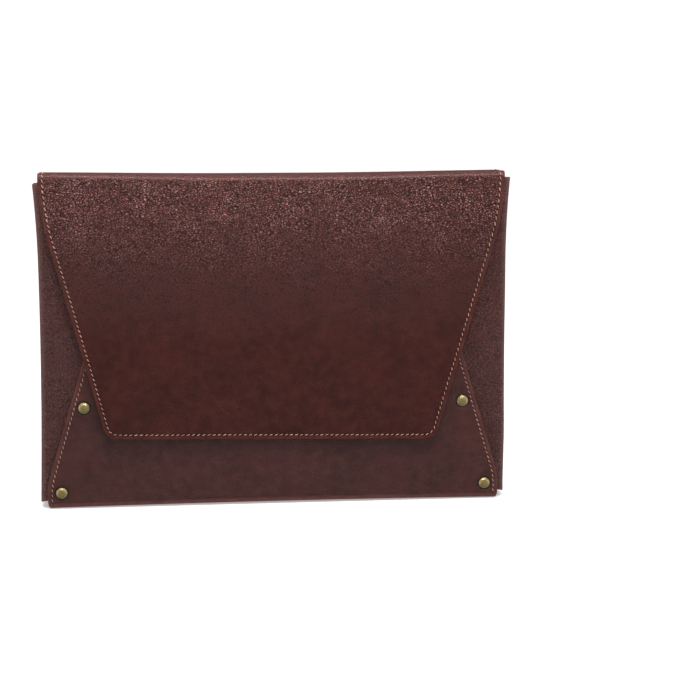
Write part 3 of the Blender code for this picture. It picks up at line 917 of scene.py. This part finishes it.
def leather_grain(sh, hide, edge, burnish):
    """Fine pebbles crossed by thin wrinkles, as (the hide as it flows, pebble height, grain strength).

    The grain is uneven in strength, and fades towards the cut edges and on rubbed folds.
    """
    uneven = sh.remap(sh.noise(hide, 22, 2.0), 0.3, 0.7, 0.85, 1.12)
    strength = sh.product(sh.attribute("grain"), uneven, sh.remap(edge, 0.5, 4.5, 0.35, 1.0))
    strength = sh.product(strength, sh.plus(1.0, burnish, -0.35))
    flow = sh.warped(sh.stretched(hide, (0.75, 1.2, 1.0)), 14, 5)
    pebble = sh.pebbles(sh.warped(flow, 3.0, 1.2), 1.5)
    wrinkle = sh.remap(sh.away_from(sh.noise(flow, 1.25, 1.0), 0.5), 0.0, 0.055, 0.55, 1.0)
    return flow, sh.product(pebble, wrinkle), strength


def leather_creases(sh, hide):
    """Fine wandering creases, in some places only."""
    lines = sh.creases(sh.warped(hide, 9.0, 5.0), 9, 0.02, 19.0)
    return sh.product(lines, sh.remap(sh.noise(sh.shifted(hide, (3, 57, 0)), 32, 1.0), 0.54, 0.72))


def stitch_line(sh):
    """The groove along the stitch line, and a hole at each end of a stitch."""
    across, along = sh.attribute("across"), sh.attribute("along")
    step = sh.maths("SUBTRACT", sh.maths("FRACT", sh.maths("ADD", along, 0.5)), 0.5)
    step = sh.product(step, PITCH / MM)
    off = sh.maths("SQRT", sh.maths("MULTIPLY_ADD", step, step, sh.product(across, across)))
    groove = sh.remap(sh.maths("ABSOLUTE", across), 0.2, 0.9, 1.0, 0.0)
    return groove, sh.remap(off, 0.3, 0.62, 1.0, 0.0)


def ring_round(sh, hide, x, s, radius):
    """1 in a narrow ring round the places (x, s) and (-x, s) of a flat map, all in millimetres."""
    centred = sh.node("VectorMath", {0: hide}, operation="ABSOLUTE").outputs[0]
    off = sh.node("VectorMath", {0: centred, 1: (x, s, 0)}, operation="DISTANCE").outputs["Value"]
    return sh.remap(sh.away_from(off, radius), 0.3, 1.2, 1.0, 0.0)


def leather_material(name, tone, gloss, dents_and_shade=()):
    """Pebbled brown leather, redder at edges and folds, with painted cut edges and a plain flesh side."""
    sh = Shader(name)
    hide = sh.millimetres("hide")
    edge, depth = sh.attribute("edge"), sh.attribute("depth")
    patch = sh.noise(hide, 34, 3.0, 0.55)
    cloud = sh.noise(sh.shifted(hide, (71, 13, 0)), 7.5, 3.0, 0.6)
    speck = sh.noise(sh.shifted(hide, (7, 31, 0)), 1.6, 2.0, 0.6)
    burnish = sh.product(sh.attribute("burnish"), sh.remap(sh.noise(hide, 6), 0.25, 0.6, 0.5, 0.9))
    flow, pebble, strength = leather_grain(sh, hide, edge, burnish)
    crack = sh.product(sh.maths("SUBTRACT", 1.0, pebble), strength)
    crease = leather_creases(sh, hide)
    groove, hole = stitch_line(sh)

    # The brown itself: mottled, and redder in a band along the cut edges and where it is rubbed
    colour = sh.mix(sh.remap(patch, 0.32, 0.68), HIDE_DARK, HIDE_LIGHT)
    colour = sh.mix(sh.remap(cloud, 0.35, 0.75, 0.0, 0.6), colour, HIDE_CLOUD)
    colour = sh.mix(sh.remap(speck, 0.45, 0.8, 0.0, 0.35), colour, HIDE_SPECK)
    band = sh.product(sh.remap(edge, 1.2, 3.4, 1.0, 0.0), sh.remap(cloud, 0.2, 0.7, 0.1, 0.5))
    colour = sh.mix(band, colour, EDGE_BAND)
    colour = sh.mix(burnish, colour, BURNISHED)
    # Painted light: each piece's tone lightens the same hide by its own amount, for the light it gets
    colour = sh.mix(1.0, colour, rgb(tone, tone, tone), "MULTIPLY")

    # Painted highlight on the pebble tops, partly a worn lighter tone, strongest where the grain is
    # strongest, high on the flap; painted glints on some of them; painted shade in the cracks, the stitch
    # groove and the needle holes
    crown_wear_and_highlight = sh.product(sh.remap(pebble, 0.3, 1.0, 0.0, 0.9), strength, strength)
    # Painted glints: a lighter colour on some pebble tops, in place of highlights
    painted_glint = sh.remap(sh.noise(sh.shifted(flow, (11, 5, 0)), 1.1, 1.0), 0.42, 0.74)
    colour = sh.mix(crown_wear_and_highlight, colour, CROWN_WEAR_AND_HIGHLIGHT)
    colour = sh.mix(sh.product(painted_glint, sh.product(crown_wear_and_highlight, strength)), colour, PAINTED_GLINT)
    # Painted shade in the cracks between the pebbles
    colour = sh.mix(sh.product(crack, 0.62), colour, CRACK_SHADE)
    colour = sh.mix(sh.product(crease, 0.2), colour, CREASE)
    # Painted shade along the stitch groove and in the needle holes
    colour = sh.mix(sh.product(groove, 0.35), colour, GROOVE_SHADE)
    colour = sh.mix(sh.product(hole, 0.9), colour, HOLE_SHADE)

    height = sh.plus(sh.product(pebble, strength, 0.8), patch, 0.5)
    for other, share in ((speck, 0.03), (crease, 0.1), (hole, -0.3)):
        height = sh.plus(height, other, share)
    # Round each rivet the leather is pressed in, and a painted shadow ring darkens it
    for dent_and_shade in dents_and_shade:
        ring = ring_round(sh, hide, *dent_and_shade)
        colour = sh.mix(sh.product(ring, 0.9), colour, RIVET_RING_SHADE)
        height = sh.plus(height, ring, -0.25)

    # Cut edges are painted smooth and a little redder; the flesh side is plain and fibrous
    cut = sh.remap(depth, 0.1, 0.2)
    flesh = sh.maths("GREATER_THAN", depth, 0.985)
    fibre = sh.noise(sh.stretched(hide, (1.0, 0.4, 1.0)), 0.5, 3.0)
    colour = sh.mix(cut, colour, sh.mix(sh.remap(speck, 0.3, 0.7), *CUT_EDGE))
    colour = sh.mix(flesh, colour, sh.mix(fibre, *FLESH))
    height = sh.product(height, sh.maths("SUBTRACT", 1.0, cut))
    rough = sh.remap(cloud, 0.25, 0.75, 0.40, 0.52)
    for other, share in ((crack, 0.12), (burnish, 0.15), (flesh, 0.35)):
        rough = sh.plus(rough, other, share)
    return sh.finish(colour, rough, height, Specular_IOR_Level=gloss, Coat_Weight=0.2, Coat_Roughness=0.3)


def lining_material():
    """Brown suede: a fine nap with brushed patches."""
    sh = Shader("suede_lining")
    hide = sh.millimetres("hide")
    nap = sh.noise(sh.stretched(hide, (1.0, 0.45, 1.0)), 0.55, 4.0, 0.65)
    brushed = sh.noise(sh.warped(hide, 20, 14), 22, 3.0, 0.55)
    fibre = sh.noise(sh.shifted(hide, (5, 9, 0)), 0.22, 2.0)
    colour = sh.mix(sh.remap(brushed, 0.35, 0.65), *SUEDE)
    colour = sh.mix(sh.remap(nap, 0.35, 0.7, 0.0, 0.6), colour, SUEDE_NAP)
    edge = sh.remap(sh.attribute("edge"), 0.0, 2.5, 0.45, 0.0)
    colour = sh.mix(edge, colour, SUEDE_EDGE)
    height = sh.plus(sh.product(fibre, 0.05), nap, 0.12)
    rough = sh.remap(nap, 0.3, 0.7, 0.82, 0.95)
    return sh.finish(colour, rough, height, Specular_IOR_Level=0.12, Sheen_Weight=0.35, Sheen_Roughness=0.4)


def thread_material():
    """Waxed tan thread: two strands twisted together, with painted shade between them, each stitch a little
    lighter or darker.
    """
    sh = Shader("waxed_thread")
    wrap = sh.uv("wrap")
    split = sh.node("SeparateXYZ", {0: wrap})
    twist = sh.plus(split.outputs[1], split.outputs[0], 44.0)
    strand = sh.plus(0.5, sh.maths("SINE", twist), 0.5)
    fuzz = sh.noise(wrap, 0.07, 3.0)
    colour = sh.mix(sh.attribute("tone"), *THREAD)
    # Painted shade in the groove between the two strands
    colour = sh.mix(sh.remap(strand, 0.0, 0.5, 0.6, 0.0), colour, THREAD_TWIST_SHADE)
    colour = sh.mix(sh.remap(fuzz, 0.4, 0.75, 0.0, 0.35), colour, THREAD_FUZZ)
    height = sh.plus(sh.product(fuzz, 0.02), strand, 0.07)
    return sh.finish(colour, sh.remap(fuzz, 0.2, 0.8, 0.42, 0.62), height, Specular_IOR_Level=0.4)


def metal_material(name, light, dark, smoothest, roughest):
    """Handled metal: fine scratches and dull patches."""
    sh = Shader(name)
    place = sh.vector("SCALE", sh.object_place(), 1000.0)
    patch = sh.noise(place, 2.2, 3.0, 0.6)
    scratch = sh.noise(sh.stretched(place, (0.5, 1.0, 6.0)), 1.1, 2.0, 0.7)
    colour = sh.mix(sh.remap(patch, 0.35, 0.7), light, dark)
    rough = sh.plus(sh.remap(patch, 0.3, 0.7, smoothest, roughest), sh.remap(scratch, 0.45, 0.75), 0.16)
    return sh.finish(colour, rough, sh.product(scratch, 0.006), Metallic=1.0)


def white_material(name, glow):
    """Lit white, with the faintest unevenness."""
    sh = Shader(name)
    tone = sh.noise(sh.object_place(), 0.35, 2.0)
    fixed = {"Specular_IOR_Level": 0.1, "Emission_Strength": glow, "Emission_Color": rgb(1, 1, 1)}
    return sh.finish(sh.mix(tone, *WHITE), 0.75, sh.product(tone, 0.01), **fixed)


# ---- pieces ------------------------------------------------------------------------------


def both_layers(*outline, closed=False, cut=None):
    """The patterns of the leather and of the lining, whose edge is set back."""
    return [framed(*outline, closed, cut, margin) for margin in (0, LINING_MARGIN)]


def flap_patterns():
    chain, rows, cols = flap_outline()
    return both_layers(chain, rows, cols, np.ones(len(chain), bool))


def front_patterns():
    chain, rows, cols = front_outline()
    sewn = chain[:, 1] > S_FRONT_BEND + BASE_FOLD * QUARTER / 2
    return both_layers(chain, rows, cols, sewn)


def body_patterns():
    """The body is sewn only round the tops of its wings, and isn't cut where it joins the other pieces."""
    chain, rows, cols = body_outline()
    u, z = np.abs(chain[:, 0]), chain[:, 1]
    ends = (z > POCKET_TOP - TINY) | (z < PANEL_BOTTOM + TINY)
    cut = (u >= FLAT_HALF + SEAM_OVERLAP) | ~ends
    sewn = (u > U_WING) & (z > FRONT_TOP + STITCH_INSET)
    return both_layers(chain, rows, cols, sewn, closed=True, cut=cut)


def spine_patterns():
    levels = np.concatenate(
        [
            line((0, S_CENTRE), (0, S_SPINE_END))[:-1, 1],
            line((0, S_SPINE_END), (0, S_BACK), FOLD_CELL)[:, 1],
            [S_POCKET_TOP],
        ]
    )
    sewn_to = S_SPINE_END + TOP_FOLD_SEWN
    return [strip(FLAP_HALF, levels, sewn_to, margin) for margin in (0, LINING_MARGIN)]


def leather_and_lining(name, patterns, carry, leather, lining, stands_for, folds=belt_folds, hide=belt_hide):
    """The grain leather and the lining under it, each built as a thick sheet; the CAD panels they stand for
    are hidden.
    """
    pieces = []
    for kind, pattern, material, top, bottom in (
        ("leather", patterns[0], leather, 0.0, LEATHER),
        ("lining", patterns[1], lining, LINING_TOP, LAYER),
    ):
        piece = thick_sheet(f"{name}_{kind}", pattern, carry, top, bottom, material, folds, hide)
        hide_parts(*(f"{node}_{kind}" for node in stands_for))
        pieces.append(piece)
    return pieces


def store_grain(piece, grain):
    points = np.array([v.co for v in piece.data.vertices])
    store(piece, "grain", np.broadcast_to(grain(points), len(points)))


def add_stitches(name, pattern, carry, thread, seed, *stands_for):
    stitches = sew(name, pattern, carry, thread, seed)
    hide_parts(*stands_for)
    return stitches


def add_flap(leather, lining, thread):
    patterns, panels = flap_patterns(), ("flap", "spine")
    pieces = leather_and_lining("hanging_flap", patterns, flap_carry, leather, lining, panels)
    store_grain(pieces[0], lambda p: FLAP_GRAIN + FLAP_GRAIN_GAIN * ramp(p[:, 2], GRAIN_FROM, GRAIN_TO))
    seams = ("flap_stitching", *SPINE_STITCHING)
    pieces.append(add_stitches("flap_stitches", patterns[0], flap_carry, thread, 11, *seams))
    for piece in pieces:
        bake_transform(piece)


def add_spine(leather, lining, thread):
    patterns = spine_patterns()
    pieces = leather_and_lining("top_fold", patterns, spine_carry, leather, lining, ("spine",))
    store_grain(pieces[0], lambda p: TOP_GRAIN)
    seams = SPINE_STITCHING
    pieces.append(add_stitches("top_fold_stitches", patterns[0], spine_carry, thread, 12, *seams))
    for piece in pieces:
        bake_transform(piece)


def add_front(leather, lining, thread):
    patterns, panels = front_patterns(), ("front", "base")
    pieces = leather_and_lining("front_pocket", patterns, front_carry, leather, lining, panels)
    store_grain(pieces[0], lambda p: FRONT_GRAIN)
    pieces.append(add_stitches("front_stitches", patterns[0], front_carry, thread, 13, "front_stitching"))
    for piece in pieces:
        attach(piece, "body")


def add_body(leather, lining, thread):
    patterns = body_patterns()
    panels = ("back", "left_side", "right_side", "left_wing", "right_wing")
    looks = (leather, lining, panels, girth_folds, body_hide)
    pieces = leather_and_lining("body_shell", patterns, body_carry, *looks)
    store_grain(pieces[0], lambda p: np.where(p[:, 1] > 0, BACK_GRAIN, WING_GRAIN))
    seams = ("left_wing_stitching", "right_wing_stitching")
    pieces.append(add_stitches("wing_stitches", patterns[0], body_carry, thread, 14, *seams))
    for piece in pieces:
        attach(piece, "body")


def middle_and_half(node):
    """The middle of a CAD node, and half its size each way."""
    low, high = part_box(node)
    return (low + high) / 2, [(b - a) / 2 for a, b in zip(low, high)]


def add_rivet_caps(brass):
    """Low domes inside a thin rim, seated in the settled leather where the CAD has its caps."""
    angles = np.linspace(0, CAP_END, CAP_POINTS)
    foot = CAP_RIM[-1][1]
    dome = [(CAP_DOME * math.cos(a), foot + (CAP_HEIGHT - foot) * math.sin(a)) for a in angles]
    profile = [(r * MM, f * MM) for r, f in (*CAP_RIM, *dome)]
    for which in RIVETS:
        middle, _ = middle_and_half(f"rivet_cap_{which}")
        place = settle(np.array([[middle.x, FRONT_Y, middle.z]]))[0]
        cap = turned(f"rivet_dome_{which}", profile, place, brass)
        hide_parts(f"rivet_cap_{which}")
        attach(cap, "body")
        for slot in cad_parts[f"rivet_post_{which}"].material_slots:
            slot.material = brass


def rivet_dents_and_shade():
    """Each pair of rivets on the hide's flat map, as (x, s, radius of its dent and of its painted shadow
    ring), in millimetres.
    """
    dents_and_shade = []
    for which in RIVETS[2:]:
        middle, half = middle_and_half(f"rivet_cap_{which}")
        dents_and_shade.append((middle.x / MM, (S_FRONT + middle.z - BASE_FOLD) / MM, half[0] / MM + DENT_AND_SHADE_MARGIN))
    return dents_and_shade


def add_magnets(metal):
    """Flat discs with eased edges, between leather and lining, that keep to the settled leather."""
    for which in MAGNETS:
        middle, (radius, depth, _) = middle_and_half(which)
        front = [(radius - inset * MAGNET_EASE, depth - drop * MAGNET_EASE) for inset, drop in MAGNET_EDGE]
        profile = [(r, -f) for r, f in front] + front[::-1]
        body = "flap" if which.startswith("flap") else "body"
        carry = settle_flap if body == "flap" else settle
        disc = turned(f"disc_{which}", profile, carry(np.array([middle]))[0], metal)
        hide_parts(which)
        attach(disc, body)


# ---- studio ------------------------------------------------------------------------------


def add_surround(name, profile, glow, is_floor):
    """A white surface turned about the upright axis from rows of (radius, height)."""
    turns = np.linspace(0, 2 * np.pi, SURROUND_STEPS, endpoint=False)
    points = [(r * math.cos(a), r * math.sin(a), z - TABLE_DROP) for r, z in profile for a in turns]
    ids = np.arange(len(points)).reshape(len(profile), -1)
    around = np.roll(ids, -1, 1)
    faces = np.stack([ids[:-1], around[:-1], around[1:], ids[1:]], -1).reshape(-1, 4).tolist()
    if is_floor:
        faces.append(ids[0].tolist())
    piece = add_mesh(name, np.array(points), faces, white_material(name + "_white", glow))
    piece.visible_glossy = False
    piece.visible_diffuse = piece.visible_shadow = is_floor


def add_world():
    """A dim room with a wide bright ceiling and softer light from both sides."""
    world = bpy.data.worlds.new("studio_room")
    world.use_nodes = True
    bpy.context.scene.world = world
    tree = world.node_tree
    tree.nodes.clear()

    def add(kind, inputs, **settings):
        return add_node(tree, kind, inputs, **settings).outputs

    xyz = add("SeparateXYZ", {0: add("TexCoord", {})["Generated"]})
    across = add("Math", {0: xyz[0]}, operation="ABSOLUTE")[0]
    soft = {"interpolation_type": "SMOOTHSTEP"}
    top = add("MapRange", {"Value": xyz[2], 1: 0.68, 2: 0.92, 3: ROOM_DIM, 4: ROOM_TOP}, **soft)[0]
    side = add("MapRange", {"Value": across, 1: 0.7, 2: 0.95, 3: ROOM_DIM, 4: ROOM_SIDE}, **soft)[0]
    level = add("Math", {0: top, 1: side}, operation="MAXIMUM")[0]
    glow = add("Background", {"Color": rgb(1.0, 0.99, 0.985), "Strength": level})[0]
    add("OutputWorld", {"Surface": glow})


def add_softbox(name, place, aim, size, power, colour):
    light = bpy.data.lights.new(name, "AREA")
    light.shape = "RECTANGLE"
    light.size, light.size_y = size
    light.energy = power
    light.color = colour
    obj = bpy.data.objects.new(name, light)
    facing = (Vector(aim) - Vector(place)).to_track_quat("-Z", "Y")
    obj.matrix_world = Matrix.Translation(place) @ facing.to_matrix().to_4x4()
    obj.visible_camera = False
    bpy.context.scene.collection.objects.link(obj)


def add_camera():
    turn = Matrix.Rotation(-CAMERA_YAW, 4, "Z") @ Matrix.Rotation(QUARTER - CAMERA_PITCH, 4, "X")
    turn = turn @ Matrix.Rotation(CAMERA_ROLL, 4, "Z")
    back = Matrix.Translation((0, 0, CAMERA_DISTANCE))
    data = bpy.data.cameras.new("camera")
    data.lens, data.clip_end = CAMERA_LENS, CAMERA_REACH
    camera = bpy.data.objects.new("camera", data)
    camera.matrix_world = Matrix.Translation(CAMERA_AIM) @ turn @ back
    bpy.context.scene.collection.objects.link(camera)
    bpy.context.scene.camera = camera


def add_studio():
    """A wide round table and, far off, a wall of the same white, so that no horizon shows from any side."""
    add_surround("studio_table", [(radius, 0) for radius in TABLE_RADII], TABLE_GLOW, True)
    add_surround("studio_wall", WALL_PROFILE, WALL_GLOW, False)
    add_world()
    for softbox in SOFTBOXES:
        add_softbox(*softbox)
    add_camera()
    bpy.context.scene.view_settings.view_transform = "Standard"


def build():
    # The tones are painted light: the same hide made lighter or darker on each piece for the light it gets
    flap_leather = leather_material("flap_hide", tone=1.24, gloss=0.15)
    body_leather = leather_material("body_hide", tone=1.8, gloss=0.28)
    front_leather = leather_material("front_hide", tone=1.55, gloss=0.45, dents_and_shade=rivet_dents_and_shade())
    lining, thread = lining_material(), thread_material()
    add_flap(flap_leather, lining, thread)
    add_spine(flap_leather, lining, thread)
    add_front(front_leather, lining, thread)
    add_body(body_leather, lining, thread)
    add_rivet_caps(metal_material("worn_brass", *BRASS, smoothest=0.34, roughest=0.46))
    add_magnets(metal_material("nickel_plate", *NICKEL, smoothest=0.22, roughest=0.38))
    add_studio()


build()
